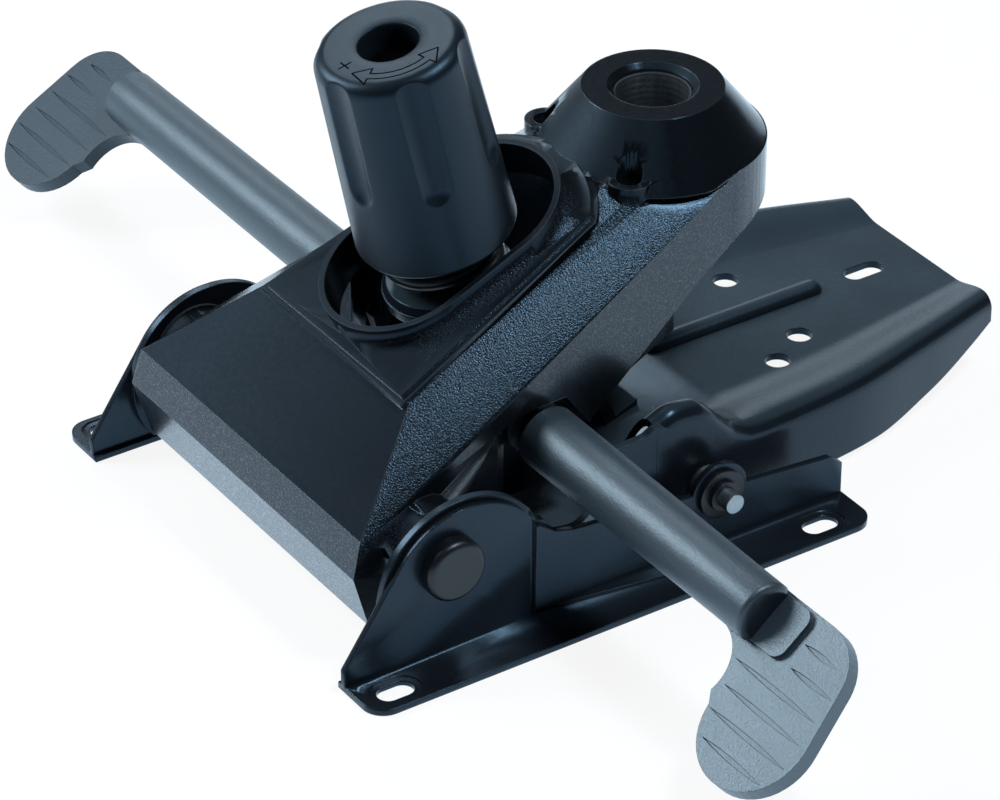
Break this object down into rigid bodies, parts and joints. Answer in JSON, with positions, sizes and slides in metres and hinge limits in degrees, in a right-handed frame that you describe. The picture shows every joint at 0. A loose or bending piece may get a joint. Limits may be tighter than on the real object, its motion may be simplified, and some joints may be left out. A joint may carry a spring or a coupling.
{
  "type": "office chair tilt mechanism",
  "caption": "Knee-tilt mechanism of a swivel chair: cast housing with gas-lift socket, seat rails, back plate, spring knob, height and lock levers.",
  "frame": {"origin": "centre of the gas-lift socket, where its mouth chamfer meets the straight bore", "axes": "+X along the lever tubes to the height lever, +Y to the back of the chair, +Z out of the gas-lift socket; the part is stored lying on its seat rails, as pictured"},
  "size_m": [0.5469, 0.3325, 0.207],
  "materials": {
    "casting_paint": "fine-textured black powder coat",
    "rail_paint": "glossy black paint on pressed steel",
    "plate_paint": "glossy black paint on pressed steel",
    "knob_plastic": "dark grey moulded plastic, fine grain",
    "sleeve_plastic": "satin blue-grey moulded plastic",
    "paddle_plastic": "grained grey moulded plastic",
    "dark_steel": "black oxide steel",
    "bare_steel": "bare turned steel",
    "spring_steel": "oiled spring wire",
    "nylon": "black nylon"
  },
  "bodies": {
    "housing": {"housing": "casting_paint", "front_bushes": "nylon", "lever_bushes": "nylon", "anchor_pin": "bare_steel"},
    "cradle": {"seat_rail_right": "rail_paint", "seat_rail_left": "rail_paint", "front_shaft": "dark_steel", "shaft_cap": "dark_steel", "rear_bolts": "bare_steel", "bolt_washers": "dark_steel", "lock_rings": "dark_steel", "back_plate": "plate_paint", "spring_bridge": "plate_paint", "spring_seat": "plate_paint", "lock_keeper": "dark_steel"},
    "bolt": {"tension_bolt": "bare_steel", "tension_spring": "spring_steel"},
    "thrust": {"thrust_washer": "bare_steel"},
    "knob": {"tension_knob": "knob_plastic", "knob_nut": "bare_steel"},
    "height_lever": {"height_rod": "bare_steel", "height_sleeve": "sleeve_plastic", "height_paddle": "paddle_plastic", "valve_arm": "dark_steel", "height_clip": "bare_steel"},
    "lock_lever": {"lock_rod": "bare_steel", "lock_sleeve": "sleeve_plastic", "lock_paddle": "paddle_plastic", "lock_pawl": "dark_steel", "lock_clip": "bare_steel"}
  },
  "joints": [
    {"name": "tilt", "type": "hinge", "parent": "housing", "child": "cradle", "pos_m": [0, -0.1538, -0.105], "axis": [1, 0, 0], "range_deg": [0, 12], "stiffness_Nm_per_rad": 290, "springref_deg": -13.18, "deforming": ["tension_spring"]},
    {"name": "bolt_swing", "type": "hinge", "parent": "housing", "child": "bolt", "pos_m": [0, -0.0798, -0.104], "axis": [1, 0, 0], "range_deg": [0, 8.4]},
    {"name": "knob_travel", "type": "slide", "parent": "bolt", "child": "thrust", "axis": [0, -0.2317, 0.9728], "range_m": [-0.0041, 0.0041], "deforming": ["tension_spring"]},
    {"name": "knob_turn", "type": "hinge", "parent": "thrust", "child": "knob", "pos_m": [0, -0.10761, 0.01273], "axis": [0, -0.2317, 0.9728], "range_deg": [-720, 720]},
    {"name": "height_pull", "type": "hinge", "parent": "housing", "child": "height_lever", "pos_m": [0, -0.0928, -0.086], "axis": [1, 0, 0], "range_deg": [0, 6], "stiffness_Nm_per_rad": 2, "springref_deg": -8.59},
    {"name": "lock_turn", "type": "hinge", "parent": "housing", "child": "lock_lever", "pos_m": [0, -0.0928, -0.086], "axis": [1, 0, 0], "range_deg": [0, 16]}
  ],
  "couplings": [
    {"joint": "bolt_swing", "follows": "tilt", "ratio": 0.69},
    {"joint": "knob_travel", "follows": "knob_turn", "m_per_rad": 0.00031831}
  ]
}
